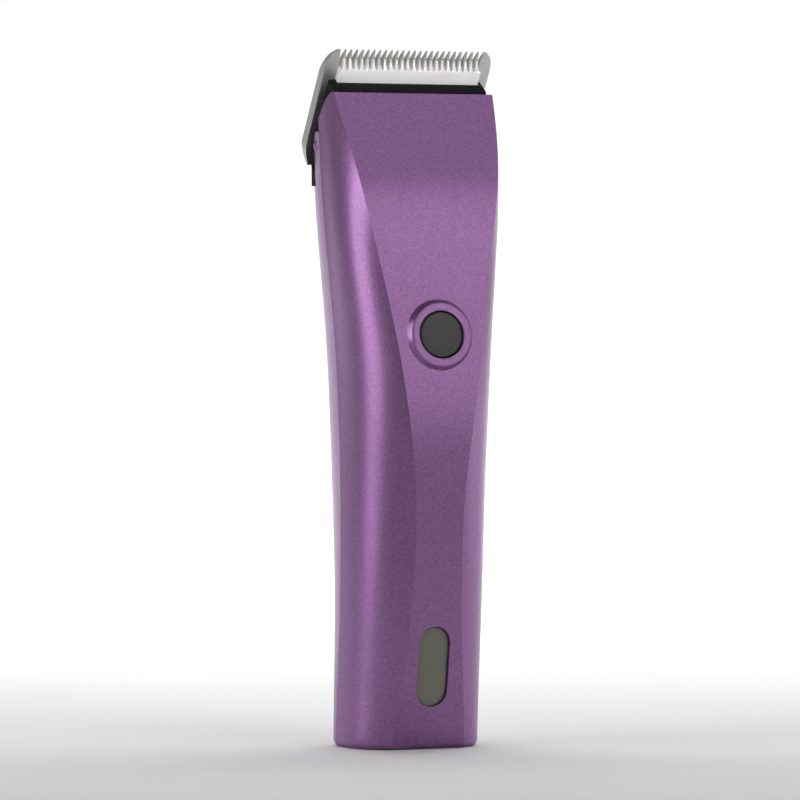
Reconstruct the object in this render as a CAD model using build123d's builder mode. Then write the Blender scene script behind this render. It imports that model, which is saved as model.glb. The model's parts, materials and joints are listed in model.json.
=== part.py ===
from build123d import *
import math
import os

os.makedirs("parts", exist_ok=True)

# ---------------------------------------------------------------- driving dimensions (mm)
Y0 = 22.0            # depth of the base centre behind the front-most point
WALL = 2.0
FLOOR = 2.4
REAR_FLAT = 8.0      # half width of the flat back
TILT = 33.5          # blade plane from the vertical
PITCH = 1.607        # tooth pitch
COMB_T = 3.2
COMB_HALF = 23.0
CUTTER_HALF = 19.6
STROKE_E = 1.1       # eccentric throw
AX_D = 23.0          # depth of the motor axis
COMB_TRAVEL = 1.57
HINGE_D, HINGE_Z = 31.6, 148.6
BUTTON_Z = 105.6
WINDOW_Z = 21.3
JACK_Y = -5.5

# height, half width of the front panel, depth of the panel, turn of the side facet,
# half width at the parting line, depth of the parting line, depth of the back
STATIONS = [
    (0.0, 10.3, 9.4, 26.0, 18.35, 26.0, 33.6),
    (12.0, 9.1, 7.1, 28.5, 18.5, 24.8, 33.8),
    (28.0, 7.5, 4.6, 25.0, 18.57, 23.2, 34.2),
    (46.0, 6.55, 2.6, 22.5, 18.7, 22.2, 35.2),
    (66.0, 6.85, 0.85, 26.5, 18.85, 21.8, 37.4),
    (86.0, 9.1, 0.05, 35.5, 19.15, 22.4, 38.9),
    (106.0, 12.0, 1.8, 39.5, 19.95, 23.2, 40.0),
    (126.0, 15.5, 4.9, 43.5, 21.6, 24.0, 40.7),
    (145.0, 19.2, 8.25, 60.0, 22.6, 25.4, 41.8),
    (157.0, 21.0, 13.0, 72.0, 22.85, 26.4, 42.4),
    (170.0, 22.4, 19.6, 84.0, 23.0, 27.3, 42.9),
]


def at(z):
    for lo, hi in zip(STATIONS, STATIONS[1:]):
        if lo[0] <= z <= hi[0]:
            t = (z - lo[0]) / (hi[0] - lo[0])
            return tuple(p + t * (q - p) for p, q in zip(lo, hi))
    return STATIONS[-1]


def control(row, w):
    z, a, df, phi, b, dp, dr = row
    f = math.radians(phi)
    lean = math.radians(4.5)
    ai = a - w * math.tan(f / 2)
    p0 = (ai, df + w)
    p3 = (b - w, dp)
    run = math.hypot(p3[0] - p0[0], p3[1] - p0[1])
    p1 = (p0[0] + 0.52 * run * math.cos(f), p0[1] + 0.52 * run * math.sin(f))
    p2 = (p3[0] - 0.28 * run * math.sin(lean), p3[1] - 0.28 * run * math.cos(lean))
    h = dr - w - dp
    c = REAR_FLAT
    r3 = (c, dr - w)
    r1 = (p3[0] - 0.72 * h * math.sin(lean), dp + 0.72 * h * math.cos(lean))
    r2 = (c + 0.7 * (b - w - c), dr - w)
    return [p0, p1, p2, p3, r1, r2, r3]


def dz(d, z):
    return (d - Y0, z)


SN, CS = math.sin(math.radians(TILT)), math.cos(math.radians(TILT))
TIP_D, TIP_Z = 18.7, 178.2


def vw(v, w):
    return (TIP_D + SN * v + CS * w - Y0, TIP_Z - CS * v + SN * w)


# the blade plane: local x right, local y up towards the tips, local z towards the cutter side
BLADE = Plane(origin=(0, TIP_D - Y0, TIP_Z), x_dir=(1, 0, 0), z_dir=(0, -CS, -SN))
SLICE = Plane.YZ

# ---------------------------------------------------------------- outer and inner bodies
with BuildPart() as outer:
    for row in STATIONS:
        p0, p1, p2, p3, r1, r2, r3 = control(row, 0.0)
        with BuildSketch(Plane.XY.offset(row[0])):
            with BuildLine():
                Line((-p0[0], p0[1] - Y0), (p0[0], p0[1] - Y0))
                Bezier((p0[0], p0[1] - Y0), (p1[0], p1[1] - Y0), (p2[0], p2[1] - Y0), (p3[0], p3[1] - Y0))
                Bezier((p3[0], p3[1] - Y0), (r1[0], r1[1] - Y0), (r2[0], r2[1] - Y0), (r3[0], r3[1] - Y0))
                Line((r3[0], r3[1] - Y0), (-r3[0], r3[1] - Y0))
                Bezier((-r3[0], r3[1] - Y0), (-r2[0], r2[1] - Y0), (-r1[0], r1[1] - Y0), (-p3[0], p3[1] - Y0))
                Bezier((-p3[0], p3[1] - Y0), (-p2[0], p2[1] - Y0), (-p1[0], p1[1] - Y0), (-p0[0], p0[1] - Y0))
            make_face()
    loft()
    rim = outer.edges().group_by(Axis.Z)[0]
    fillet(rim, 1.6)

INNER_STATIONS = [at(FLOOR)] + STATIONS[1:]
with BuildPart() as inner:
    for row in INNER_STATIONS:
        p0, p1, p2, p3, r1, r2, r3 = control(row, WALL)
        with BuildSketch(Plane.XY.offset(row[0])):
            with BuildLine():
                Line((-p0[0], p0[1] - Y0), (p0[0], p0[1] - Y0))
                Bezier((p0[0], p0[1] - Y0), (p1[0], p1[1] - Y0), (p2[0], p2[1] - Y0), (p3[0], p3[1] - Y0))
                Bezier((p3[0], p3[1] - Y0), (r1[0], r1[1] - Y0), (r2[0], r2[1] - Y0), (r3[0], r3[1] - Y0))
                Line((r3[0], r3[1] - Y0), (-r3[0], r3[1] - Y0))
                Bezier((-r3[0], r3[1] - Y0), (-r2[0], r2[1] - Y0), (-r1[0], r1[1] - Y0), (-p3[0], p3[1] - Y0))
                Bezier((-p3[0], p3[1] - Y0), (-p2[0], p2[1] - Y0), (-p1[0], p1[1] - Y0), (-p0[0], p0[1] - Y0))
            make_face()
    loft()

# everything in front of the parting line
PART_LINE = [(r[5], r[0]) for r in STATIONS]
with BuildPart() as front_zone:
    with BuildSketch(SLICE):
        with BuildLine():
            Spline([dz(d, z) for d, z in PART_LINE])
            Polyline(dz(27.3, 170), dz(27.3, 175), dz(-10, 175), dz(-10, -5), dz(26.0, -5), dz(26.0, 0))
        make_face()
    extrude(amount=40, both=True)

# the slanted mouth of the head
with BuildPart() as mouth:
    with BuildSketch(SLICE):
        with BuildLine():
            Polyline(dz(-10, 167.3), dz(19.4, 167.4), dz(22.5, 165.5), dz(26.6, 160.9), dz(27.1, 158.6),
                     dz(27.15, 157.2), dz(27.7, 157.6), dz(29.6, 157.5), dz(30.6, 156.6), dz(31.0, 155.2),
                     dz(31.0, 143.6), dz(60, 143.6), dz(60, 190), dz(-10, 190), close=True)
        make_face()
    extrude(amount=40, both=True)

# button and window planes on the panel
B_SLOPE = math.radians(6.9)
BUTTON = Plane(origin=(0, 1.77 - Y0, BUTTON_Z), x_dir=(1, 0, 0), z_dir=(0, -math.cos(B_SLOPE), math.sin(B_SLOPE)))
W_SLOPE = math.radians(8.9)
WINDOW = Plane(origin=(0, 5.6 - Y0, WINDOW_Z), x_dir=(1, 0, 0), z_dir=(0, -math.cos(W_SLOPE), -math.sin(W_SLOPE)))

SCREWS = [(12.4, 8.0), (-12.4, 8.0), (13.4, 94.0), (-13.4, 94.0)]

# front bosses, trimmed to the cavity
with BuildPart() as front_boss:
    for sx, sz in SCREWS:
        with BuildSketch(Plane.XZ.offset(Y0 - 4.0)):
            with Locations((sx, sz)):
                Circle(2.6)
        extrude(amount=-24)
    add(inner.part, mode=Mode.INTERSECT)
    add(front_zone.part, mode=Mode.INTERSECT)

with BuildPart() as rear_boss:
    for sx, sz in SCREWS:
        with BuildSketch(Plane.XZ.offset(Y0 - 20.0)):
            with Locations((sx, sz)):
                Circle(3.2)
        extrude(amount=-30)
    add(inner.part, mode=Mode.INTERSECT)
    add(front_zone.part, mode=Mode.SUBTRACT)

with BuildPart() as front_shell:
    add(outer.part)
    with BuildSketch(BUTTON.offset(-0.7)):
        Circle(9.28)
    extrude(amount=2.3, taper=29.4)
    add(inner.part, mode=Mode.SUBTRACT)
    add(front_zone.part, mode=Mode.INTERSECT)
    add(mouth.part, mode=Mode.SUBTRACT)
    add(front_boss.part)
    with BuildSketch(BUTTON.offset(4)):
        Circle(6.05)
    extrude(amount=-9, mode=Mode.SUBTRACT)
    with BuildSketch(WINDOW.offset(4)):
        SlotOverall(20.8, 8.8, rotation=90)
    extrude(amount=-8, mode=Mode.SUBTRACT)
    for sx, sz in SCREWS:
        with BuildSketch(Plane.XZ.offset(Y0 - 13.0)):
            with Locations((sx, sz)):
                Circle(1.15)
        extrude(amount=-20, mode=Mode.SUBTRACT)
    with BuildSketch(Plane.XY.offset(-1)):
        with Locations((0, JACK_Y)):
            Circle(4.05)
    extrude(amount=6, mode=Mode.SUBTRACT)

with BuildPart() as rear_shell:
    add(outer.part)
    add(inner.part, mode=Mode.SUBTRACT)
    add(front_zone.part, mode=Mode.SUBTRACT)
    add(mouth.part, mode=Mode.SUBTRACT)
    add(rear_boss.part)
    for sx, sz in SCREWS:
        with BuildSketch(Plane.XZ.offset(Y0 - 18.0)):
            with Locations((sx, sz)):
                Circle(1.25)
        extrude(amount=-20, mode=Mode.SUBTRACT)
        with BuildSketch(Plane.XZ.offset(Y0 - 27.2)):
            with Locations((sx, sz)):
                Circle(2.4)
        extrude(amount=-20, mode=Mode.SUBTRACT)
    # two grip flutes across the back
    for gz in (60.0, 66.0, 72.0):
        with BuildSketch(Plane.YZ.offset(-9)):
            with Locations((at(gz)[6] + 0.35 - Y0, gz)):
                Circle(0.9)
        extrude(amount=18, mode=Mode.SUBTRACT)

front_shell.part.label = "front_shell"
rear_shell.part.label = "rear_shell"
export_step(front_shell.part, "parts/front_shell.step")
export_step(rear_shell.part, "parts/rear_shell.step")

# ---------------------------------------------------------------- front panel pieces
with BuildPart() as battery_window:
    with BuildSketch(WINDOW.offset(-1.7)):
        SlotOverall(23.0, 11.0, rotation=90)
    extrude(amount=-0.9)
    add(inner.part, mode=Mode.INTERSECT)
    with BuildSketch(WINDOW.offset(-0.95)):
        SlotOverall(20.7, 8.7, rotation=90)
    extrude(amount=-1.65)
battery_window.part.label = "battery_window"
export_step(battery_window.part, "parts/battery_window.step")

with BuildPart() as power_button:
    with BuildSketch(BUTTON.offset(-3.0)):
        Circle(5.72)
    extrude(amount=4.45)
    top_edge = power_button.edges().filter_by(GeomType.CIRCLE).sort_by(Axis((0, 0, 0), (0, -math.cos(B_SLOPE), math.sin(B_SLOPE))))[-1]
    chamfer(top_edge, 0.35)
    with BuildSketch(BUTTON.offset(-3.0)):
        Circle(6.9)
    extrude(amount=0.55)
    with BuildSketch(BUTTON.offset(-3.0)):
        Circle(1.6)
    extrude(amount=-0.9)
    with Locations(BUTTON.offset(37.1)):
        Sphere(36.0, mode=Mode.SUBTRACT)
power_button.part.label = "power_button"
export_step(power_button.part, "parts/power_button.step")

# ---------------------------------------------------------------- circuit board group
BOARD_D = 9.6
BOARD_Z0, BOARD_Z1 = 14.5, 111.0
with BuildPart() as circuit_board:
    with Locations((0, BOARD_D + 0.6 - Y0, (BOARD_Z0 + BOARD_Z1) / 2)):
        Box(17.0, 1.2, BOARD_Z1 - BOARD_Z0)
    with BuildSketch(Plane.XZ.offset(Y0 - BOARD_D + 1)):
        with Locations((0, 60.0), (0, 92.0)):
            Circle(1.1)
    extrude(amount=-4, mode=Mode.SUBTRACT)
circuit_board.part.label = "circuit_board"
export_step(circuit_board.part, "parts/circuit_board.step")

with BuildPart() as tact_switch:
    with Locations((0, BOARD_D - 1.3 - Y0, 105.1)):
        Box(6.0, 2.6, 6.0)
    with BuildSketch(Plane.XZ.offset(Y0 - BOARD_D + 2.6)):
        with Locations((0, 105.1)):
            Circle(1.6)
    extrude(amount=0.6)
tact_switch.part.label = "tact_switch"
export_step(tact_switch.part, "parts/tact_switch.step")

with BuildPart() as board_chips:
    with Locations((0, BOARD_D - 0.6 - Y0, 50.0), (0, BOARD_D - 0.6 - Y0, 71.0)):
        Box(5.0, 1.2, 6.0)
    with Locations((5.2, BOARD_D - 0.8 - Y0, 42.0), (-5.2, BOARD_D - 0.8 - Y0, 63.0), (5.4, BOARD_D - 0.8 - Y0, 82.0)):
        Box(3.0, 1.6, 3.6)
board_chips.part.label = "board_chips"
export_step(board_chips.part, "parts/board_chips.step")

with BuildPart() as charge_leds:
    with Locations(*[(0, BOARD_D - 0.2 - Y0, WINDOW_Z + k) for k in (-4.6, 0.0, 4.6)]):
        Box(2.0, 0.4, 1.2)
charge_leds.part.label = "charge_leds"
export_step(charge_leds.part, "parts/charge_leds.step")

with BuildPart() as board_screws:
    for bz in (60.0, 92.0):
        with BuildSketch(Plane.XZ.offset(Y0 - BOARD_D)):
            with Locations((0, bz)):
                Circle(1.9)
        extrude(amount=1.2)
        with BuildSketch(Plane.XZ.offset(Y0 - BOARD_D)):
            with Locations((0, bz)):
                Circle(1.05)
        extrude(amount=-2.7)
board_screws.part.label = "board_screws"
export_step(board_screws.part, "parts/board_screws.step")

# ---------------------------------------------------------------- battery group
CELL_D, CELL_R, CELL_Z0, CELL_Z1 = 22.0, 9.15, 15.5, 80.5
with BuildPart() as battery_cell:
    with BuildSketch(Plane.XY.offset(CELL_Z0)):
        with Locations((0, CELL_D - Y0)):
            Circle(CELL_R)
    extrude(amount=CELL_Z1 - CELL_Z0)
    fillet(battery_cell.edges().filter_by(GeomType.CIRCLE), 0.8)
battery_cell.part.label = "battery_cell"
export_step(battery_cell.part, "parts/battery_cell.step")

with BuildPart() as battery_tabs:
    with Locations((0, CELL_D - Y0, CELL_Z1 + 0.1), (0, CELL_D - Y0, CELL_Z0 - 0.1)):
        Box(6.0, 12.0, 0.2)
battery_tabs.part.label = "battery_tabs"
export_step(battery_tabs.part, "parts/battery_tabs.step")

# chassis: board rails, cell saddles and end stops in one moulded piece
with BuildPart() as chassis:
    with Locations((0, 11.55 - Y0, 56.0)):
        Box(17.0, 1.5, 83.0)
    for cz in (24.0, 48.0, 72.0):
        with Locations((0, 20.0 - Y0, cz)):
            Box(26.0, 17.0, 3.0)
    with Locations((0, 18.0 - Y0, CELL_Z1 + 2.0), (0, 18.0 - Y0, CELL_Z0 - 2.0)):
        Box(17.0, 13.6, 2.4)
    with BuildSketch(Plane.XY.offset(CELL_Z0 - 0.4)):
        with Locations((0, CELL_D - Y0)):
            Circle(CELL_R + 0.05)
    extrude(amount=CELL_Z1 - CELL_Z0 + 0.8, mode=Mode.SUBTRACT)
    with BuildSketch(Plane.XZ.offset(Y0 - 8.0)):
        with Locations((0, 60.0), (0, 92.0)):
            Circle(1.05)
    extrude(amount=-6, mode=Mode.SUBTRACT)
chassis.part.label = "chassis"
export_step(chassis.part, "parts/chassis.step")

# ---------------------------------------------------------------- charging inlet
JACK_R = 2.8
with BuildPart() as charge_jack:
    with BuildSketch(Plane.XY):
        with Locations((0, JACK_Y)):
            Circle(4.0)
    extrude(amount=10.0)
    with BuildSketch(Plane.XY):
        with Locations((0, JACK_Y)):
            Circle(JACK_R)
    extrude(amount=8.8, mode=Mode.SUBTRACT)
    with BuildSketch(Plane.XY):
        with Locations((0, JACK_Y)):
            Circle(0.65)
    extrude(amount=12.0, mode=Mode.SUBTRACT)
    with BuildSketch(Plane.XY.offset(FLOOR + 0.1)):
        with Locations((0, JACK_Y)):
            Rectangle(11.0, 9.4)
            Circle(4.0, mode=Mode.SUBTRACT)
    extrude(amount=4.0)
charge_jack.part.label = "charge_jack"
export_step(charge_jack.part, "parts/charge_jack.step")

with BuildPart() as jack_pin:
    with BuildSketch(Plane.XY.offset(8.8)):
        with Locations((0, JACK_Y)):
            Circle(0.65)
    extrude(amount=2.7)
jack_pin.part.label = "jack_pin"
export_step(jack_pin.part, "parts/jack_pin.step")

# ---------------------------------------------------------------- motor group
M_Y = AX_D - Y0
with BuildPart() as motor_can:
    with BuildSketch(Plane.XY.offset(109.0)):
        with Locations((0, M_Y)):
            Circle(11.2)
    extrude(amount=31.0)
    fillet(motor_can.edges().filter_by(GeomType.CIRCLE).sort_by(Axis.Z)[-1], 1.2)
    with BuildSketch(Plane.XY.offset(140.0)):
        with Locations((0, M_Y)):
            Circle(3.2)
    extrude(amount=2.6)
    with BuildSketch(Plane.XY.offset(108.0)):
        with Locations((0, M_Y)):
            Circle(1.25)
    extrude(amount=36.0, mode=Mode.SUBTRACT)
    with BuildSketch(Plane.XY.offset(108.5)):
        with Locations((0, M_Y)):
            Circle(9.8)
    extrude(amount=29.5, mode=Mode.SUBTRACT)
motor_can.part.label = "motor_can"
export_step(motor_can.part, "parts/motor_can.step")

with BuildPart() as motor_endcap:
    with BuildSketch(Plane.XY.offset(106.6)):
        with Locations((0, M_Y)):
            Circle(10.6)
            Circle(1.25, mode=Mode.SUBTRACT)
    extrude(amount=2.4)
    with BuildSketch(Plane.XY.offset(109.0)):
        with Locations((0, M_Y)):
            Circle(9.75)
            Circle(7.0, mode=Mode.SUBTRACT)
    extrude(amount=2.0)
motor_endcap.part.label = "motor_endcap"
export_step(motor_endcap.part, "parts/motor_endcap.step")

with BuildPart() as motor_magnets:
    with BuildSketch(Plane.XY.offset(114.0)):
        with Locations((0, M_Y)):
            Circle(9.8)
            Circle(7.8, mode=Mode.SUBTRACT)
            Rectangle(6.0, 30.0, mode=Mode.SUBTRACT)
    extrude(amount=20.0)
motor_magnets.part.label = "motor_magnets"
export_step(motor_magnets.part, "parts/motor_magnets.step")

with BuildPart() as motor_terminals:
    with Locations((7.2, M_Y, 105.1), (-7.2, M_Y, 105.1)):
        Box(0.6, 2.4, 3.0)
motor_terminals.part.label = "motor_terminals"
export_step(motor_terminals.part, "parts/motor_terminals.step")

with BuildPart() as motor_mount:
    with BuildSketch(Plane.XY.offset(140.1)):
        with Locations((0, M_Y)):
            RectangleRounded(31.0, 23.4, 6.0)
            Circle(4.2, mode=Mode.SUBTRACT)
            with PolarLocations(8.0, 2):
                Circle(1.25, mode=Mode.SUBTRACT)
    extrude(amount=2.3)
    with BuildSketch(Plane.XY.offset(134.0)):
        with Locations((0, M_Y)):
            Circle(13.4)
            Circle(12.3, mode=Mode.SUBTRACT)
            with Locations((0, 14), (0, -14)):
                Rectangle(20.0, 20.0, mode=Mode.SUBTRACT)
    extrude(amount=6.1)
motor_mount.part.label = "motor_mount"
export_step(motor_mount.part, "parts/motor_mount.step")

with BuildPart() as motor_damper:
    with BuildSketch(Plane.XY.offset(134.0)):
        with Locations((0, M_Y)):
            Circle(12.25)
            Circle(11.25, mode=Mode.SUBTRACT)
    extrude(amount=4.6)
motor_damper.part.label = "motor_damper"
export_step(motor_damper.part, "parts/motor_damper.step")

with BuildPart() as motor_screws:
    with BuildSketch(Plane.XY.offset(142.4)):
        with Locations((0, M_Y)):
            with PolarLocations(8.0, 2):
                Circle(2.1)
    extrude(amount=1.2)
    with BuildSketch(Plane.XY.offset(140.05)):
        with Locations((0, M_Y)):
            with PolarLocations(8.0, 2):
                Circle(1.2)
    extrude(amount=2.4)
motor_screws.part.label = "motor_screws"
export_step(motor_screws.part, "parts/motor_screws.step")

with BuildPart() as motor_shaft:
    with BuildSketch(Plane.XY.offset(107.0)):
        with Locations((0, M_Y)):
            Circle(1.2)
    extrude(amount=42.0)
motor_shaft.part.label = "motor_shaft"
export_step(motor_shaft.part, "parts/motor_shaft.step")

with BuildPart() as motor_rotor:
    with BuildSketch(Plane.XY.offset(114.5)):
        with Locations((0, M_Y)):
            Circle(7.3)
            Circle(1.2, mode=Mode.SUBTRACT)
            with PolarLocations(6.6, 3):
                Rectangle(3.2, 1.2, mode=Mode.SUBTRACT)
    extrude(amount=19.0)
    with BuildSketch(Plane.XY.offset(111.4)):
        with Locations((0, M_Y)):
            Circle(3.0)
            Circle(1.2, mode=Mode.SUBTRACT)
    extrude(amount=3.1)
motor_rotor.part.label = "motor_rotor"
export_step(motor_rotor.part, "parts/motor_rotor.step")

with BuildPart() as eccentric:
    with BuildSketch(Plane.XY.offset(146.6)):
        with Locations((0, M_Y)):
            Circle(4.6)
    extrude(amount=4.4)
    with BuildSketch(Plane.XY.offset(146.6)):
        with Locations((0, M_Y)):
            Circle(1.2)
    extrude(amount=2.4, mode=Mode.SUBTRACT)
eccentric.part.label = "eccentric"
export_step(eccentric.part, "parts/eccentric.step")

with BuildPart() as drive_pin:
    with BuildSketch(Plane.XY.offset(151.0)):
        with Locations((0, M_Y + STROKE_E)):
            Circle(1.0)
    extrude(amount=8.0)
drive_pin.part.label = "drive_pin"
export_step(drive_pin.part, "parts/drive_pin.step")

with BuildPart() as drive_roller:
    with BuildSketch(Plane.XY.offset(153.6)):
        with Locations((0, M_Y + STROKE_E)):
            Circle(1.9)
            Circle(1.0, mode=Mode.SUBTRACT)
    extrude(amount=5.2)
drive_roller.part.label = "drive_roller"
export_step(drive_roller.part, "parts/drive_roller.step")

# ---------------------------------------------------------------- head frame
with BuildPart() as head_frame:
    with BuildSketch(Plane.XY.offset(143.7)):
        with Locations((0, 27.0 - Y0)):
            Rectangle(60, 40)
    extrude(amount=2.2)
    with BuildSketch(Plane.XY.offset(143.7)):
        with Locations((0, 9.0 - Y0)):
            Rectangle(60, 10)
    extrude(amount=2.2, mode=Mode.SUBTRACT)
    # cheeks that carry the hinge pin
    with BuildSketch(SLICE.offset(19.0)):
        Polygon(dz(28.6, 145.9), dz(33.8, 145.9), dz(33.9, 151.5), dz(33.2, 155.2), dz(32.4, 156.2), dz(30.2, 155.0),
                dz(28.6, 151.5), align=None)
    extrude(amount=1.45)
    with BuildSketch(SLICE.offset(-19.0)):
        Polygon(dz(28.6, 145.9), dz(33.8, 145.9), dz(33.9, 151.5), dz(33.2, 155.2), dz(32.4, 156.2), dz(30.2, 155.0),
                dz(28.6, 151.5), align=None)
    extrude(amount=-1.45)
    add(inner.part, mode=Mode.INTERSECT)
    with BuildSketch(Plane.XY.offset(143.0)):
        with Locations((0, M_Y)):
            Circle(6.4)
            with PolarLocations(8.0, 2):
                Circle(2.6)
            with Locations((14.5, -5.0), (-14.5, -5.0)):
                Circle(1.25)
    extrude(amount=5.0, mode=Mode.SUBTRACT)
    with BuildSketch(SLICE.offset(20.45)):
        Polygon(dz(31.15, 145.9), dz(33.8, 145.9), dz(33.9, 151.5), dz(33.2, 155.2), dz(32.4, 156.2), dz(31.15, 155.4),
                align=None)
    extrude(amount=1.35)
    with BuildSketch(SLICE.offset(-20.45)):
        Polygon(dz(31.15, 145.9), dz(33.8, 145.9), dz(33.9, 151.5), dz(33.2, 155.2), dz(32.4, 156.2), dz(31.15, 155.4),
                align=None)
    extrude(amount=-1.35)
    # outer feet of the cheeks, and a lower ledge where the comb's edge swings down
    with BuildSketch(SLICE):
        Polygon(dz(31.15, 143.7), dz(33.8, 143.7), dz(33.8, 146.0), dz(31.15, 146.0), align=None)
    extrude(amount=21.8, both=True)
    with BuildSketch(SLICE):
        Polygon(dz(33.9, 144.9), dz(50.0, 144.9), dz(50.0, 150.0), dz(33.9, 150.0), align=None)
    extrude(amount=30.0, both=True, mode=Mode.SUBTRACT)
    # hinge bore
    with BuildSketch(SLICE.offset(-25)):
        with Locations(dz(HINGE_D, HINGE_Z)):
            Circle(1.2)
    extrude(amount=50, mode=Mode.SUBTRACT)
head_frame.part.label = "head_frame"
export_step(head_frame.part, "parts/head_frame.step")

with BuildPart() as head_screws:
    with BuildSketch(Plane.XY.offset(145.9)):
        with Locations((14.5, M_Y - 5.0), (-14.5, M_Y - 5.0)):
            Circle(2.0)
    extrude(amount=1.2)
    with BuildSketch(Plane.XY.offset(142.4)):
        with Locations((14.5, M_Y - 5.0), (-14.5, M_Y - 5.0)):
            Circle(1.2)
    extrude(amount=3.6)
head_screws.part.label = "head_screws"
export_step(head_screws.part, "parts/head_screws.step")

with BuildPart() as hinge_pin:
    with BuildSketch(SLICE.offset(-19.8)):
        with Locations(dz(HINGE_D, HINGE_Z)):
            Circle(1.2)
    extrude(amount=39.6)
hinge_pin.part.label = "hinge_pin"
export_step(hinge_pin.part, "parts/hinge_pin.step")

with BuildPart() as latch_spring:
    with BuildSketch(SLICE):
        Polygon(dz(15.0, 145.9), dz(17.8, 145.9), dz(17.8, 150.0), dz(19.0, 158.0), dz(19.5, 159.5), dz(19.0, 161.0),
                dz(18.5, 161.0), dz(19.0, 159.5), dz(18.5, 158.2), dz(17.3, 150.0), dz(17.3, 146.4), dz(15.0, 146.4),
                align=None)
    extrude(amount=5.0, both=True)
latch_spring.part.label = "latch_spring"
export_step(latch_spring.part, "parts/latch_spring.step")

# ---------------------------------------------------------------- housing screws
with BuildPart() as housing_screws:
    for sx, sz in SCREWS:
        with BuildSketch(Plane.XZ.offset(Y0 - 14.0)):
            with Locations((sx, sz)):
                Circle(1.15)
        extrude(amount=-15.0)
        with BuildSketch(Plane.XZ.offset(Y0 - 27.2)):
            with Locations((sx, sz)):
                Circle(2.1)
                RegularPolygon(0.9, 6, mode=Mode.SUBTRACT)
        extrude(amount=-1.8)
housing_screws.part.label = "housing_screws"

# ---------------------------------------------------------------- blade set
LEVER_V, LEVER_W = 19.0, -1.2
with BuildPart() as blade_base:
    with BuildSketch(SLICE):
        Polygon(vw(8.9, -0.05), vw(8.9, -2.12), vw(8.58, -2.14), vw(8.5, -2.58), vw(9.5, -4.67), dz(20.8, 167.5),
                dz(20.8, 163.8), vw(25.5, -6.2), vw(27.2, -2.6), vw(27.2, -0.05), align=None)
    extrude(amount=18.6, both=True)
    with BuildSketch(SLICE):
        Polygon(vw(8.9, -0.05), vw(8.9, -2.12), vw(8.58, -2.14), vw(8.5, -2.58), vw(9.5, -4.67), vw(10.3, -4.3),
                vw(12.7, -3.0), vw(18.8, -2.4), vw(22.3, -2.2), vw(22.3, -0.05), align=None)
    extrude(amount=21.3, both=True)
    # nose corners narrow towards the top
    with BuildSketch(BLADE.offset(-2)):
        Polygon((19.3, -7.0), (21.35, -9.3), (21.35, -11.0), (23.0, -11.0), (23.0, -7.0), align=None)
        Polygon((-19.3, -7.0), (-21.35, -9.3), (-21.35, -11.0), (-23.0, -11.0), (-23.0, -7.0), align=None)
    extrude(amount=10, mode=Mode.SUBTRACT)
    # pocket for the cutter foot and the drive opening
    with BuildSketch(SLICE):
        Polygon(vw(8.0, 1.0), vw(25.0, 1.0), vw(25.0, -2.12), vw(8.0, -2.12), align=None)
    extrude(amount=16.4, both=True, mode=Mode.SUBTRACT)
    with BuildSketch(SLICE):
        Polygon(vw(10.5, 1.0), vw(25.0, 1.0), vw(25.0, -9.0), vw(10.5, -9.0), align=None)
    extrude(amount=16.2, both=True, mode=Mode.SUBTRACT)
    # lever shaft bore and cam pocket
    with BuildSketch(SLICE.offset(17.0)):
        Polygon(vw(16.9, 1.0), vw(21.1, 1.0), vw(21.1, -2.3), vw(16.9, -2.3), align=None)
    extrude(amount=2.5, mode=Mode.SUBTRACT)
    with BuildSketch(SLICE.offset(16.0)):
        with Locations(vw(LEVER_V, LEVER_W)):
            Circle(1.0)
    extrude(amount=6, mode=Mode.SUBTRACT)
    # hinge ears
    for ex in (-15.5, 12.5):
        with BuildSketch(SLICE.offset(ex)):
            Polygon(vw(25.2, -6.0), vw(27.2, -2.6), vw(27.2, -0.6), dz(33.0, 152.8), dz(33.6, 149.6), dz(29.6, 149.6),
                    align=None)
            with Locations(dz(HINGE_D, HINGE_Z)):
                Circle(2.35)
        extrude(amount=3.0)
    with BuildSketch(SLICE.offset(-25)):
        with Locations(dz(HINGE_D, HINGE_Z)):
            Circle(1.25)
    extrude(amount=50, mode=Mode.SUBTRACT)
    # comb guide screw holes
    with BuildSketch(BLADE.offset(-1)):
        with Locations((10.5, -26.1), (-10.5, -26.1)):
            Circle(1.0)
    extrude(amount=8, mode=Mode.SUBTRACT)
blade_base.part.label = "blade_base"
export_step(blade_base.part, "parts/blade_base.step")

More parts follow.
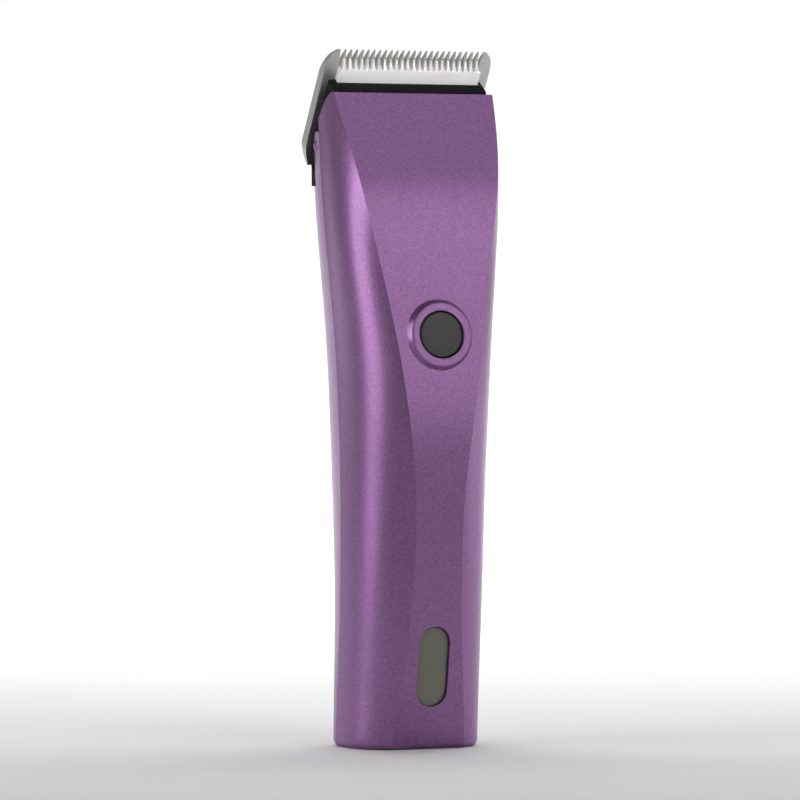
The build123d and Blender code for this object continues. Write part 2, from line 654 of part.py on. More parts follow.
TEETH = [(-11.5 + i) * PITCH for i in range(24)]
GAPS = [(-12 + i) * PITCH for i in range(25)]
with BuildPart() as comb_plate:
    with BuildSketch(SLICE):
        Polygon(vw(0.1, 0.0), vw(26.7, 0.0), vw(28.8, -0.2), vw(31.1, -1.17), vw(32.3, -2.25), vw(33.0, -2.75),
                vw(33.25, -2.3), vw(33.1, -1.4), vw(32.2, 1.0), vw(30.6, 2.6), vw(29.2, 3.2), vw(7.6, 3.2), vw(0.5, 0.5),
                vw(0.0, 0.3), align=None)
    extrude(amount=COMB_HALF, both=True)
    with BuildSketch(BLADE.offset(6)):
        Polygon((-20.2, 0.3), (-20.7, 0.05), (-21.2, -0.5), (-22.3, -1.8), (-22.8, -3.4), (-23.0, -5.4), (-23.0, -30.0),
                (-22.6, -33.0), (-21.6, -34.0), (21.6, -34.0), (22.6, -33.0), (23.0, -30.0), (23.0, -5.4), (22.8, -3.4), (22.3, -1.8),
                (21.2, -0.5), (20.7, 0.05), (20.2, 0.3), align=None)
    extrude(amount=-14, mode=Mode.INTERSECT)
    with BuildSketch(BLADE.offset(6)):
        for gx in GAPS:
            Polygon((gx - 0.62, 1.0), (gx - 0.62, -0.2), (gx - 0.36, -3.2), (gx - 0.32, -6.6), (gx - 0.18, -7.0), (gx + 0.18, -7.0),
                    (gx + 0.32, -6.6), (gx + 0.36, -3.2), (gx + 0.62, -0.2), (gx + 0.62, 1.0), align=None)
    extrude(amount=-14, mode=Mode.SUBTRACT)
    # counterbored guide slots, and the cam pocket on the cutter side
    with BuildSketch(BLADE.offset(1)):
        with Locations((10.5, -25.35), (-10.5, -25.35)):
            SlotOverall(3.9, 2.2, rotation=90)
    extrude(amount=-6, mode=Mode.SUBTRACT)
    with BuildSketch(BLADE.offset(-1.9)):
        with Locations((10.5, -25.35), (-10.5, -25.35)):
            SlotOverall(6.9, 5.2, rotation=90)
    extrude(amount=-3, mode=Mode.SUBTRACT)
    with BuildSketch(BLADE.offset(0.5)):
        with Locations((18.3, -(LEVER_V - 0.787))):
            Rectangle(2.4, 1.62)
    extrude(amount=-2.5, mode=Mode.SUBTRACT)
comb_plate.part.label = "comb_plate"
export_step(comb_plate.part, "parts/comb_plate.step")

with BuildPart() as comb_screws:
    for cx in (10.5, -10.5):
        with BuildSketch(BLADE.offset(-1.95)):
            with Locations((cx, -26.1)):
                Circle(2.45)
                Rectangle(5.0, 0.6, mode=Mode.SUBTRACT)
        extrude(amount=-1.15)
        with BuildSketch(BLADE.offset(-1.95)):
            with Locations((cx, -26.1)):
                Circle(2.45)
        extrude(amount=-0.6)
        with BuildSketch(BLADE.offset(-1.95)):
            with Locations((cx, -26.1)):
                Circle(1.0)
        extrude(amount=4.2)
comb_screws.part.label = "comb_screws"
export_step(comb_screws.part, "parts/comb_screws.step")

with BuildPart() as cutter_blade:
    with BuildSketch(SLICE):
        Polygon(vw(2.65, -0.05), vw(8.7, -0.05), vw(8.7, -1.95), vw(5.05, -1.95), vw(2.7, -0.5), align=None)
    extrude(amount=CUTTER_HALF, both=True)
    with BuildSketch(BLADE.offset(0.05)):
        Polygon((-15.0, -8.5), (15.0, -8.5), (15.0, -18.0), (-15.0, -18.0), align=None)
    extrude(amount=1.9)
    with BuildSketch(BLADE.offset(3)):
        for gx in GAPS:
            Polygon((gx - 0.5, -2.0), (gx - 0.5, -2.9), (gx - 0.36, -4.5), (gx - 0.14, -4.95), (gx + 0.14, -4.95), (gx + 0.36, -4.5),
                    (gx + 0.5, -2.9), (gx + 0.5, -2.0), align=None)
    extrude(amount=-6, mode=Mode.SUBTRACT)
    with BuildSketch(BLADE.offset(3)):
        with Locations((12.2, -13.5), (-12.2, -13.5)):
            Circle(1.1)
    extrude(amount=-6, mode=Mode.SUBTRACT)
cutter_blade.part.label = "cutter_blade"
export_step(cutter_blade.part, "parts/cutter_blade.step")

with BuildPart() as drive_fork:
    with BuildSketch(BLADE.offset(1.96)):
        Polygon((-13.8, -11.2), (13.8, -11.2), (13.8, -19.2), (-13.8, -19.2), align=None)
    extrude(amount=2.6)
    with BuildSketch(SLICE):
        Polygon(vw(16.0, -4.4), dz(19.5, 160.9), dz(19.5, 154.2), dz(26.4, 154.2), dz(26.4, 160.0), vw(19.0, -4.4), align=None)
    extrude(amount=6.3, both=True)
    with BuildSketch(SLICE):
        Polygon(dz(15.0, 150.0), dz(30.0, 150.0), dz(30.0, 159.9), dz(15.0, 159.9), align=None)
    extrude(amount=4.45, both=True, mode=Mode.SUBTRACT)
    with BuildSketch(BLADE.offset(1.0)):
        with Locations((12.2, -13.5), (-12.2, -13.5)):
            Circle(1.1)
    extrude(amount=6, mode=Mode.SUBTRACT)
drive_fork.part.label = "drive_fork"
export_step(drive_fork.part, "parts/drive_fork.step")

with BuildPart() as cutter_rivets:
    for cx in (12.2, -12.2):
        with BuildSketch(BLADE.offset(0.1)):
            with Locations((cx, -13.5)):
                Circle(1.1)
        extrude(amount=4.5)
        with BuildSketch(BLADE.offset(4.57)):
            with Locations((cx, -13.5)):
                Circle(1.5)
        extrude(amount=0.7)
cutter_rivets.part.label = "cutter_rivets"
export_step(cutter_rivets.part, "parts/cutter_rivets.step")

with BuildPart() as tension_spring:
    for tx in (-9.25, 9.25):
        with BuildSketch(BLADE.offset(4.65)):
            with Locations((tx, -20.0)):
                Rectangle(2.2, 10.0)
        extrude(amount=0.45)
tension_spring.part.label = "tension_spring"
export_step(tension_spring.part, "parts/tension_spring.step")

# ---------------------------------------------------------------- taper lever
LOBE = 2.1
LOBE_A = math.radians(22.0)
with BuildPart() as taper_lever:
    pv, pw = LEVER_V, LEVER_W
    lv, lw = pv - LOBE * math.sin(LOBE_A), pw + LOBE * math.cos(LOBE_A)
    uv, uw = (lv - pv) / LOBE, (lw - pw) / LOBE
    with BuildSketch(SLICE.offset(17.5)):
        with Locations(vw(pv, pw)):
            Circle(0.95)
    extrude(amount=6.0)
    with BuildSketch(SLICE.offset(17.5)):
        with Locations(vw(lv, lw)):
            Circle(0.7)
        Polygon(vw(pv - 0.35 * uw, pw + 0.35 * uv), vw(lv - 0.35 * uw, lw + 0.35 * uv),
                vw(lv + 0.35 * uw, lw - 0.35 * uv), vw(pv + 0.35 * uw, pw - 0.35 * uv), align=None)
    extrude(amount=1.7)
    la = math.radians(8.0)
    dv, dw = math.cos(la), math.sin(la)
    ev, ew = pv + 12.5 * dv, pw + 12.5 * dw
    with BuildSketch(SLICE.offset(23.4)):
        with Locations(vw(pv, pw)):
            Circle(2.7)
        Polygon(vw(pv - 2.6 * dw, pw + 2.6 * dv), vw(ev - 1.9 * dw, ew + 1.9 * dv), vw(ev + 1.9 * dw, ew - 1.9 * dv),
                vw(pv + 2.6 * dw, pw - 2.6 * dv), align=None)
        with Locations(vw(ev, ew)):
            Circle(1.9)
    extrude(amount=1.4)
    with BuildSketch(SLICE.offset(24.8)):
        with Locations(vw(ev, ew)):
            Circle(1.9)
        Polygon(vw(ev - 5.0 * dv - 1.9 * dw, ew - 5.0 * dw + 1.9 * dv), vw(ev - 1.9 * dw, ew + 1.9 * dv),
                vw(ev + 1.9 * dw, ew - 1.9 * dv), vw(ev - 5.0 * dv + 1.9 * dw, ew - 5.0 * dw - 1.9 * dv), align=None)
    extrude(amount=1.8)
taper_lever.part.label = "taper_lever"
export_step(taper_lever.part, "parts/taper_lever.step")

export_step(housing_screws.part, "parts/housing_screws.step")

# ---------------------------------------------------------------- leads
with BuildPart() as battery_leads:
    with BuildLine():
        Spline((2.2, 20.0 - Y0, 84.8), (3.6, 15.2 - Y0, 94.0), (4.0, 11.5 - Y0, 102.0))
    with BuildSketch(Plane(origin=(2.2, 20.0 - Y0, 84.8), z_dir=(1.6, -5.0, 8.0))):
        Circle(0.55)
    sweep()
battery_leads.part.label = "battery_leads"

with BuildPart() as motor_leads:
    with BuildLine():
        Spline((7.2, M_Y, 103.0), (6.6, 18.0 - Y0, 100.6), (5.4, 11.5 - Y0, 102.0))
    with BuildSketch(Plane(origin=(7.2, M_Y, 103.0), z_dir=(-0.6, -5.0, -2.2))):
        Circle(0.55)
    sweep()
motor_leads.part.label = "motor_leads"
export_step(battery_leads.part, "parts/battery_leads.step")
export_step(motor_leads.part, "parts/motor_leads.step")
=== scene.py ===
import bpy
import bmesh
import json
import math
import numpy as np
from mathutils import Vector, Matrix


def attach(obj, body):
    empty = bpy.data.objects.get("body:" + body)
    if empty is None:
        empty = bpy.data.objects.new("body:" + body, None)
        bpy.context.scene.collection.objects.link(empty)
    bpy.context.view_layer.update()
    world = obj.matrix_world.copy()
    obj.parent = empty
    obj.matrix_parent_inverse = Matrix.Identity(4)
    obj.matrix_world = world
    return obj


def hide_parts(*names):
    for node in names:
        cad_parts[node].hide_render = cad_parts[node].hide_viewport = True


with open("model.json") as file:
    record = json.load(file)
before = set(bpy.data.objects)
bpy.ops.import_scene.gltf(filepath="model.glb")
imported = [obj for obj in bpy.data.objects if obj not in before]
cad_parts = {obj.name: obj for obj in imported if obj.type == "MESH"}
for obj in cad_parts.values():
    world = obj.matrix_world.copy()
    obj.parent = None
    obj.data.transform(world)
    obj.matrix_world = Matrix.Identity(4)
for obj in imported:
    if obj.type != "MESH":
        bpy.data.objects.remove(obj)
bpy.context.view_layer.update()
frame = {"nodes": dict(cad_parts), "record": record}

nodes = frame["nodes"]
MM = 0.001
Y0 = 22.0

# ------------------------------------------------------------------ section table (mm), as in the CAD
STATIONS = np.array([
    (0.0, 10.3, 9.4, 26.0, 18.35, 26.0, 33.6),
    (12.0, 9.1, 7.1, 28.5, 18.5, 24.8, 33.8),
    (28.0, 7.5, 4.6, 25.0, 18.57, 23.2, 34.2),
    (46.0, 6.55, 2.6, 22.5, 18.7, 22.2, 35.2),
    (66.0, 6.85, 0.85, 26.5, 18.85, 21.8, 37.4),
    (86.0, 9.1, 0.05, 35.5, 19.15, 22.4, 38.9),
    (106.0, 12.0, 1.8, 39.5, 19.95, 23.2, 40.0),
    (126.0, 15.5, 4.9, 43.5, 21.6, 24.0, 40.7),
    (145.0, 19.2, 8.25, 60.0, 22.6, 25.4, 41.8),
    (157.0, 21.0, 13.0, 72.0, 22.85, 26.4, 42.4),
    (170.0, 22.4, 19.6, 84.0, 23.0, 27.3, 42.9),
])
REAR_FLAT = 8.0


def natural_spline(x, y):
    n = len(x)
    h = np.diff(x)
    A = np.zeros((n, n))
    r = np.zeros(n)
    A[0, 0] = A[-1, -1] = 1
    for i in range(1, n - 1):
        A[i, i - 1], A[i, i], A[i, i + 1] = h[i - 1], 2 * (h[i - 1] + h[i]), h[i]
        r[i] = 3 * ((y[i + 1] - y[i]) / h[i] - (y[i] - y[i - 1]) / h[i - 1])
    c = np.linalg.solve(A, r)
    return h, c


_SP = [natural_spline(STATIONS[:, 0], STATIONS[:, k]) for k in range(1, 7)]


def row_at(z):
    x = STATIONS[:, 0]
    i = int(np.clip(np.searchsorted(x, z) - 1, 0, len(x) - 2))
    t = z - x[i]
    out = [z]
    for k in range(6):
        h, c = _SP[k]
        y = STATIONS[:, k + 1]
        b = (y[i + 1] - y[i]) / h[i] - h[i] * (2 * c[i] + c[i + 1]) / 3
        d = (c[i + 1] - c[i]) / (3 * h[i])
        out.append(float(y[i] + b * t + c[i] * t * t + d * t ** 3))
    return out


def control(row, w):
    z, a, df, phi, b, dp, dr = row
    f = math.radians(phi)
    lean = math.radians(4.5)
    ai = a - w * math.tan(f / 2)
    p0 = (ai, df + w)
    p3 = (b - w, dp)
    run = math.hypot(p3[0] - p0[0], p3[1] - p0[1])
    p1 = (p0[0] + 0.52 * run * math.cos(f), p0[1] + 0.52 * run * math.sin(f))
    p2 = (p3[0] - 0.28 * run * math.sin(lean), p3[1] - 0.28 * run * math.cos(lean))
    h = dr - w - dp
    c = REAR_FLAT
    r3 = (c, dr - w)
    r1 = (p3[0] - 0.72 * h * math.sin(lean), dp + 0.72 * h * math.cos(lean))
    r2 = (c + 0.7 * (b - w - c), dr - w)
    return [p0, p1, p2, p3, r1, r2, r3]


def bez(p0, p1, p2, p3, t):
    u = 1 - t
    return (u ** 3 * p0[0] + 3 * u * u * t * p1[0] + 3 * u * t * t * p2[0] + t ** 3 * p3[0],
            u ** 3 * p0[1] + 3 * u * u * t * p1[1] + 3 * u * t * t * p2[1] + t ** 3 * p3[1])


def panel_depth(z):
    return row_at(z)[2]


def new_mesh(name, verts, faces, smooth=True, sharp=14.0):
    """verts in mm with y already in the row frame"""
    me = bpy.data.meshes.new(name)
    me.from_pydata([(v[0] * MM, v[1] * MM, v[2] * MM) for v in verts], [], faces)
    me.validate()
    ob = bpy.data.objects.new(name, me)
    bpy.context.scene.collection.objects.link(ob)
    finish_shading(ob, smooth, sharp)
    return ob


def finish_shading(ob, smooth=True, sharp=14.0):
    me = ob.data
    bm = bmesh.new()
    bm.from_mesh(me)
    bmesh.ops.remove_doubles(bm, verts=bm.verts, dist=1e-6)
    bmesh.ops.recalc_face_normals(bm, faces=bm.faces)
    lim = math.radians(sharp)
    for f in bm.faces:
        f.smooth = smooth
    for e in bm.edges:
        if len(e.link_faces) == 2:
            e.smooth = e.calc_face_angle(0.0) < lim
    bm.to_mesh(me)
    bm.free()


def apply_modifiers(ob):
    dg = bpy.context.evaluated_depsgraph_get()
    me = bpy.data.meshes.new_from_object(ob.evaluated_get(dg))
    old = ob.data
    ob.modifiers.clear()
    ob.data = me
    if old.users == 0:
        bpy.data.meshes.remove(old)


def bevel(ob, width, angle=35.0, segments=2):
    m = ob.modifiers.new("edge", "BEVEL")
    m.width = width * MM
    m.segments = segments
    m.limit_method = "ANGLE"
    m.angle_limit = math.radians(angle)
    m.harden_normals = False
    return m


# ------------------------------------------------------------------ materials
class Mat:
    def __init__(self, name):
        self.m = bpy.data.materials.new(name)
        self.m.use_nodes = True
        self.t = self.m.node_tree
        self.b = self.t.nodes["Principled BSDF"]
        self.co = self.t.nodes.new("ShaderNodeTexCoord")

    def n(self, kind, **kw):
        nd = self.t.nodes.new(kind)
        for k, v in kw.items():
            if k in nd.inputs:
                nd.inputs[k].default_value = v
            else:
                setattr(nd, k, v)
        return nd

    def link(self, a, b):
        self.t.links.new(a, b)

    def coords(self, scale=(1, 1, 1), rot=(0, 0, 0)):
        mp = self.t.nodes.new("ShaderNodeMapping")
        mp.inputs["Scale"].default_value = scale
        mp.inputs["Rotation"].default_value = rot
        self.link(self.co.outputs["Object"], mp.inputs["Vector"])
        return mp.outputs["Vector"]

    def noise(self, scale, detail=2.0, rough=0.5, vec=None, w=None):
        nd = self.t.nodes.new("ShaderNodeTexNoise")
        nd.inputs["Scale"].default_value = scale
        nd.inputs["Detail"].default_value = detail
        nd.inputs["Roughness"].default_value = rough
        self.link(vec or self.co.outputs["Object"], nd.inputs["Vector"])
        return nd.outputs["Fac"]

    def ramp(self, fac, stops):
        nd = self.t.nodes.new("ShaderNodeValToRGB")
        el = nd.color_ramp.elements
        while len(el) < len(stops):
            el.new(0.5)
        for e, (p, c) in zip(el, stops):
            e.position = p
            e.color = (*c, 1) if len(c) == 3 else c
        self.link(fac, nd.inputs["Fac"])
        return nd.outputs["Color"]

    def value(self, fac, lo, hi, f0=0.3, f1=0.7):
        nd = self.t.nodes.new("ShaderNodeMapRange")
        nd.inputs["From Min"].default_value = f0
        nd.inputs["From Max"].default_value = f1
        nd.inputs["To Min"].default_value = lo
        nd.inputs["To Max"].default_value = hi
        self.link(fac, nd.inputs["Value"])
        return nd.outputs["Result"]

    def bump(self, fac, strength, distance):
        nd = self.t.nodes.new("ShaderNodeBump")
        nd.inputs["Strength"].default_value = strength
        nd.inputs["Distance"].default_value = distance
        self.link(fac, nd.inputs["Height"])
        self.link(nd.outputs["Normal"], self.b.inputs["Normal"])
        return nd


def set_base(mt, metallic, rough, coat=0.0, coat_rough=0.1, spec=0.5):
    mt.b.inputs["Metallic"].default_value = metallic
    mt.b.inputs["Roughness"].default_value = rough
    mt.b.inputs["Coat Weight"].default_value = coat
    mt.b.inputs["Coat Roughness"].default_value = coat_rough
    mt.b.inputs["Specular IOR Level"].default_value = spec


def purple_paint():
    mt = Mat("purple_metallic_paint")
    set_base(mt, 0.72, 0.33, 0.2, 0.16)
    fl = mt.n("ShaderNodeTexVoronoi")
    fl.inputs["Scale"].default_value = 3600.0
    mt.link(mt.co.outputs["Object"], fl.inputs["Vector"])
    grain = mt.noise(1500.0, 3.0, 0.65)
    sep = mt.n("ShaderNodeSeparateColor")
    mt.link(fl.outputs["Color"], sep.inputs["Color"])
    mixv = mt.n("ShaderNodeMath", operation="MULTIPLY_ADD")
    mt.link(sep.outputs["Red"], mixv.inputs[0])
    mixv.inputs[1].default_value = 0.45
    mt.link(grain, mixv.inputs[2])
    col = mt.ramp(mixv.outputs[0], [(0.38, (0.225, 0.098, 0.262)), (0.72, (0.268, 0.124, 0.304)), (0.98, (0.315, 0.155, 0.350))])
    mt.link(col, mt.b.inputs["Base Color"])
    mt.link(mt.value(mt.noise(9.0, 3.0), 0.31, 0.36), mt.b.inputs["Roughness"])
    mt.bump(mixv.outputs[0], 0.06, 0.00004)
    return mt.m


def plastic(name, base, rough, grain=900.0, var=0.35, bump=0.12, metallic=0.0, coat=0.0, spec=0.5):
    mt = Mat(name)
    set_base(mt, metallic, rough, coat, 0.2, spec)
    g = mt.noise(grain, 3.0, 0.6)
    w = mt.noise(30.0, 3.0, 0.55)
    lo = tuple(c * (1 - var) for c in base)
    hi = tuple(min(1, c * (1 + var)) for c in base)
    mt.link(mt.ramp(w, [(0.3, lo), (0.7, hi)]), mt.b.inputs["Base Color"])
    mt.link(mt.value(w, rough - 0.05, rough + 0.06), mt.b.inputs["Roughness"])
    mt.bump(g, bump, 0.00008)
    return mt.m


def steel(name, lo, hi, rough, scale, tilt=33.5, streak=(1.0, 60.0, 60.0), bump=0.08, metallic=1.0):
    """ground steel: long fine streaks along X, or along the blade when asked"""
    mt = Mat(name)
    set_base(mt, metallic, rough)
    vec = mt.coords(streak, (math.radians(tilt), 0, 0))
    s1 = mt.noise(scale, 4.0, 0.7, vec)
    s2 = mt.noise(25.0, 2.0)
    col = mt.ramp(s1, [(0.3, lo), (0.7, hi)])
    mt.link(col, mt.b.inputs["Base Color"])
    mt.link(mt.value(s2, rough - 0.06, rough + 0.08), mt.b.inputs["Roughness"])
    mt.bump(s1, bump, 0.00003)
    return mt.m


def put(ob, mat):
    ob.data.materials.clear()
    ob.data.materials.append(mat)


M_PURPLE = purple_paint()
M_BLACK = plastic("black_moulding", (0.008, 0.008, 0.008), 0.58, 2200, 0.25, 0.15, spec=0.12)
M_BUTTON = plastic("button_satin", (0.044, 0.044, 0.041), 0.45, 2600, 0.12, 0.12)
M_WINDOW = plastic("window_satin", (0.185, 0.188, 0.145), 0.4, 1800, 0.10, 0.05, coat=0.15)
M_COMB = steel("comb_ground_steel", (0.45, 0.45, 0.44), (0.66, 0.66, 0.65), 0.34, 90.0, metallic=0.85)
# painted highlight: the cutter's near-white, almost non-metallic colour stands in for the bright reflection that its
# ground steel bar shows
M_CUTTER_PAINTED_HIGHLIGHT = steel("cutter_steel_painted_highlight", (0.90, 0.89, 0.87), (0.98, 0.97, 0.95), 0.50, 60.0, metallic=0.10)
M_SCREW = steel("screw_steel", (0.30, 0.30, 0.31), (0.5, 0.5, 0.52), 0.3, 700.0, 0, (1, 1, 1))
M_SPRING = steel("spring_steel", (0.35, 0.35, 0.37), (0.5, 0.5, 0.53), 0.28, 200.0)
# painted shade: near-black colour for the tube that darkens the groove between the shells
M_SEAM_SHADE = plastic("seam_painted_shade", (0.012, 0.011, 0.013), 0.7, 1500, 0.2, 0.1)
M_NYLON = plastic("white_nylon_moulding", (0.60, 0.58, 0.53), 0.45, 1500, 0.06, 0.08)
M_GREY = plastic("chassis_moulding", (0.19, 0.19, 0.20), 0.5, 1200, 0.1, 0.1)
M_BOARD = plastic("solder_mask", (0.02, 0.12, 0.05), 0.35, 500, 0.3, 0.1, coat=0.3)
M_CHIP = plastic("moulded_chip", (0.02, 0.02, 0.02), 0.55, 3000, 0.2, 0.1)
M_LED = plastic("led_body", (0.70, 0.74, 0.60), 0.2, 900, 0.05, 0.02, coat=0.4)
M_CELL = plastic("shrink_sleeve", (0.03, 0.12, 0.28), 0.3, 300, 0.12, 0.05, coat=0.3)
M_NICKEL = steel("nickel_strip", (0.45, 0.43, 0.38), (0.6, 0.58, 0.53), 0.3, 300.0)
M_ZINC = steel("zinc_can", (0.35, 0.35, 0.35), (0.5, 0.5, 0.51), 0.35, 40.0, 0, (60, 60, 1))
M_COPPER = steel("copper_and_iron", (0.35, 0.15, 0.06), (0.55, 0.26, 0.12), 0.4, 500.0)
M_MAGNET = plastic("sintered_magnet", (0.08, 0.08, 0.09), 0.6, 2500, 0.2, 0.25)
M_RUBBER = plastic("rubber", (0.02, 0.02, 0.02), 0.75, 1500, 0.2, 0.2)
M_RED = plastic("lead_insulation", (0.4, 0.02, 0.02), 0.45, 800, 0.1, 0.05)
M_LEVER = plastic("lever_moulding", (0.028, 0.028, 0.028), 0.4, 2000, 0.2, 0.12)

SLOT_MAT = {
    "purple_shell": M_PURPLE, "black_plastic": M_BLACK, "button_grey": M_BUTTON, "window_olive": M_WINDOW,
    "blade_steel": M_COMB, "cutter_steel": M_CUTTER_PAINTED_HIGHLIGHT, "screw_steel": M_SCREW, "spring_steel": M_SPRING,
    "motor_steel": M_ZINC, "copper_winding": M_COPPER, "magnet_grey": M_MAGNET, "board_green": M_BOARD,
    "chip_black": M_CHIP, "led_white": M_LED, "cell_blue": M_CELL, "nickel_tab": M_NICKEL, "rubber_black": M_RUBBER,
    "chassis_grey": M_GREY, "lead_red": M_RED, "white_nylon": M_NYLON,
}
for sp in frame["record"]["subparts"]:
    if sp["node"] in nodes:
        put(nodes[sp["node"]], SLOT_MAT[sp["material_slot"]])
put(nodes["taper_lever"], M_LEVER)

# ------------------------------------------------------------------ skins
N_F, N_P = 26, 16          # columns on each facet and across the panel
N_R1, N_R2, N_RF = 8, 16, 8  # back: side strip, corner, flat


def front_columns(row, w=0.0):
    p0, p1, p2, p3, r1, r2, r3 = control(row, w)
    right = [bez(p0, p1, p2, p3, i / N_F) for i in range(N_F + 1)]
    left = [(-x, d) for x, d in right[::-1]]
    mid = [(-p0[0] + 2 * p0[0] * i / N_P, p0[1]) for i in range(1, N_P)]
    return left + mid + right


def rear_columns(row, w=0.0):
    p0, p1, p2, p3, r1, r2, r3 = control(row, w)
    lo, hi = 0.0, 1.0
    for _ in range(40):
        t = (lo + hi) / 2
        if bez(p3, r1, r2, r3, t)[1] < 31.0 - min(w, 1.0):
            lo = t
        else:
            hi = t
    ts = lo
    right = [bez(p3, r1, r2, r3, ts * i / N_R1) for i in range(N_R1)]
    right += [bez(p3, r1, r2, r3, ts + (1 - ts) * i / N_R2) for i in range(N_R2 + 1)]
    left = [(-x, d) for x, d in right[::-1]]
    c = right[-1][0]
    mid = [(c - 2 * c * i / N_RF, right[-1][1]) for i in range(1, N_RF)]
    return right + mid + left


def mouth_front(d):
    pts = [(-10, 167.3), (18.0, 167.3), (19.4, 167.4), (20.3, 167.1), (22.5, 165.5), (26.6, 160.9), (27.1, 158.6), (27.3, 157.4), (30, 156.5)]
    return float(np.interp(d, [p[0] for p in pts], [p[1] for p in pts]))


def mouth_side(d):
    pts = [(26.0, 157.1), (27.1, 157.4), (27.8, 157.6), (29.4, 157.5), (30.3, 157.0), (30.8, 156.2), (31.0, 155.2), (40, 155.0)]
    return float(np.interp(d, [p[0] for p in pts], [p[1] for p in pts]))


def solve_top(col, columns, mouth, lo=150.0, hi=169.0):
    for _ in range(40):
        z = (lo + hi) / 2
        d = columns(row_at(z))[col][1]
        if z < mouth(d):
            lo = z
        else:
            hi = z
    return lo


R_FOOT = 1.6
FOOT = [(R_FOOT * (1 - math.cos(math.radians(q))), R_FOOT * (1 - math.sin(math.radians(q)))) for q in (90, 72, 54, 36, 18, 0)]


def stadium_point(px, pz, cz, h, r):
    c = max(-h, min(h, pz - cz))
    dx, dz = px, pz - (cz + c)
    L = math.hypot(dx, dz) or 1.0
    return dx / L * r, cz + c + dz / L * r


def zrows(marks, step):
    out = [marks[0]]
    for a, b in zip(marks, marks[1:]):
        n = max(1, int(round((b - a) / step)))
        out += [a + (b - a) * (i + 1) / n for i in range(n)]
    return out


def build_front():
    verts, faces = [], []

    def add(x, d, z):
        verts.append((x, d - Y0, z))
        return len(verts) - 1

    ncol = 2 * N_F + N_P + 1
    tops = [solve_top(c, front_columns, mouth_front) for c in range(ncol)]
    marks = [FOOT[-1][1], 8.6, 34.0, 94.6, 117.0, 138.0]
    levels = zrows(marks, 1.6)
    grid = []
    # floor rows towards the parting line, then the rounded foot
    foot_row = front_columns(row_at(0.0), R_FOOT)
    m = len(foot_row) - 1
    for s in (1.0, 0.8, 0.6, 0.4, 0.2):
        g = []
        for c, (x, d) in enumerate(foot_row):
            tx = -16.75 + 33.5 * c / m
            g.append(add(x + (tx - x) * s, d + (26.0 - d) * s, 0.0))
        grid.append(g)
    for w, z in FOOT:
        grid.append([add(x, d, z) for x, d in front_columns(row_at(z), w)])
    base = len(grid) - 1
    for z in levels[1:]:
        grid.append([add(x, d, z) for x, d in front_columns(row_at(z))])
    nup = 20
    for j in range(1, nup + 1):
        g = []
        for c in range(ncol):
            z = 138.0 + (tops[c] - 138.0) * j / nup
            x, d = front_columns(row_at(z))[c]
            g.append(add(x, d, z))
        grid.append(g)
    lev = {round(z, 4): base + i for i, z in enumerate(levels)}
    cl, cr = N_F, N_F + N_P
    holes = [(lev[8.6], lev[34.0]), (lev[94.6], lev[117.0])]
    for i in range(len(grid) - 1):
        for c in range(ncol - 1):
            if any(a <= i < b for a, b in holes) and cl <= c < cr:
                continue
            faces.append((grid[i][c], grid[i][c + 1], grid[i + 1][c + 1], grid[i + 1][c]))
    for which, (a, b) in enumerate(holes):
        ring = [grid[a][c] for c in range(cl, cr)] + [grid[i][cr] for i in range(a, b)]
        ring += [grid[b][c] for c in range(cr, cl, -1)] + [grid[i][cl] for i in range(b, a, -1)]
        if which == 0:
            cz, h, r = 21.3, 6.0, 4.4
            steps = [(k / 5, r, 0.0) for k in range(1, 6)]
            tail = [(r - 0.05, 0.03), (r - 0.12, 0.10), (r - 0.16, 0.22), (r - 0.16, 0.6), (r - 0.16, 1.5)]
        else:
            cz, h, r = 105.6, 0.0, 7.6
            steps = [(k / 4, r, 0.0) for k in range(1, 5)]
            tail = []
        prev = ring
        for f, rr, dep in steps:
            cur = []
            for v in ring:
                x, _, z = verts[v]
                sx, sz = stadium_point(x, z, cz, h, rr)
                nx, nz = x + (sx - x) * f, z + (sz - z) * f
                cur.append(add(nx, panel_depth(nz) + dep, nz))
            n = len(ring)
            for k in range(n):
                faces.append((prev[k], prev[(k + 1) % n], cur[(k + 1) % n], cur[k]))
            prev = cur
        for rr, dep in tail:
            cur = []
            for v in ring:
                x, _, z = verts[v]
                sx, sz = stadium_point(x, z, cz, h, rr)
                cur.append(add(sx, panel_depth(sz) + dep, sz + 0.155 * dep * (-1)))
            n = len(ring)
            for k in range(n):
                faces.append((prev[k], prev[(k + 1) % n], cur[(k + 1) % n], cur[k]))
            prev = cur
    return verts, faces


def build_rear():
    verts, faces = [], []

    def add(x, d, z):
        verts.append((x, d - Y0, z))
        return len(verts) - 1

    ncol = 2 * (N_R1 + N_R2) + N_RF + 1
    levels = zrows([FOOT[-1][1], 58.0, 74.0, 143.6], 1.6)
    grid = []
    foot_row = rear_columns(row_at(0.0), R_FOOT)
    m = len(foot_row) - 1
    for s in (1.0, 0.75, 0.5, 0.25):
        g = []
        for c, (x, d) in enumerate(foot_row):
            tx = 16.75 - 33.5 * c / m
            g.append(add(x + (tx - x) * s, d + (26.0 - d) * s, 0.0))
        grid.append(g)
    for w, z in FOOT:
        grid.append([add(x, d, z) for x, d in rear_columns(row_at(z), w)])
    for z in levels[1:]:
        grid.append([add(x, d, z) for x, d in rear_columns(row_at(z))])
    for i in range(len(grid) - 1):
        for c in range(ncol - 1):
            faces.append((grid[i][c], grid[i][c + 1], grid[i + 1][c + 1], grid[i + 1][c]))
    top = grid[-1]
    nup = 12
    for side in (list(range(0, N_R1 + 1)), list(range(ncol - 1 - N_R1, ncol))):
        tops = [solve_top(c, rear_columns, mouth_side, 144.0, 160.0) for c in side]
        prev = [top[c] for c in side]
        for j in range(1, nup + 1):
            cur = []
            for c, zt in zip(side, tops):
                z = 143.6 + (zt - 143.6) * j / nup
                x, d = rear_columns(row_at(z))[c]
                cur.append(add(x, d, z))
            for k in range(len(side) - 1):
                faces.append((prev[k], prev[k + 1], cur[k + 1], cur[k]))
            prev = cur
    return verts, faces


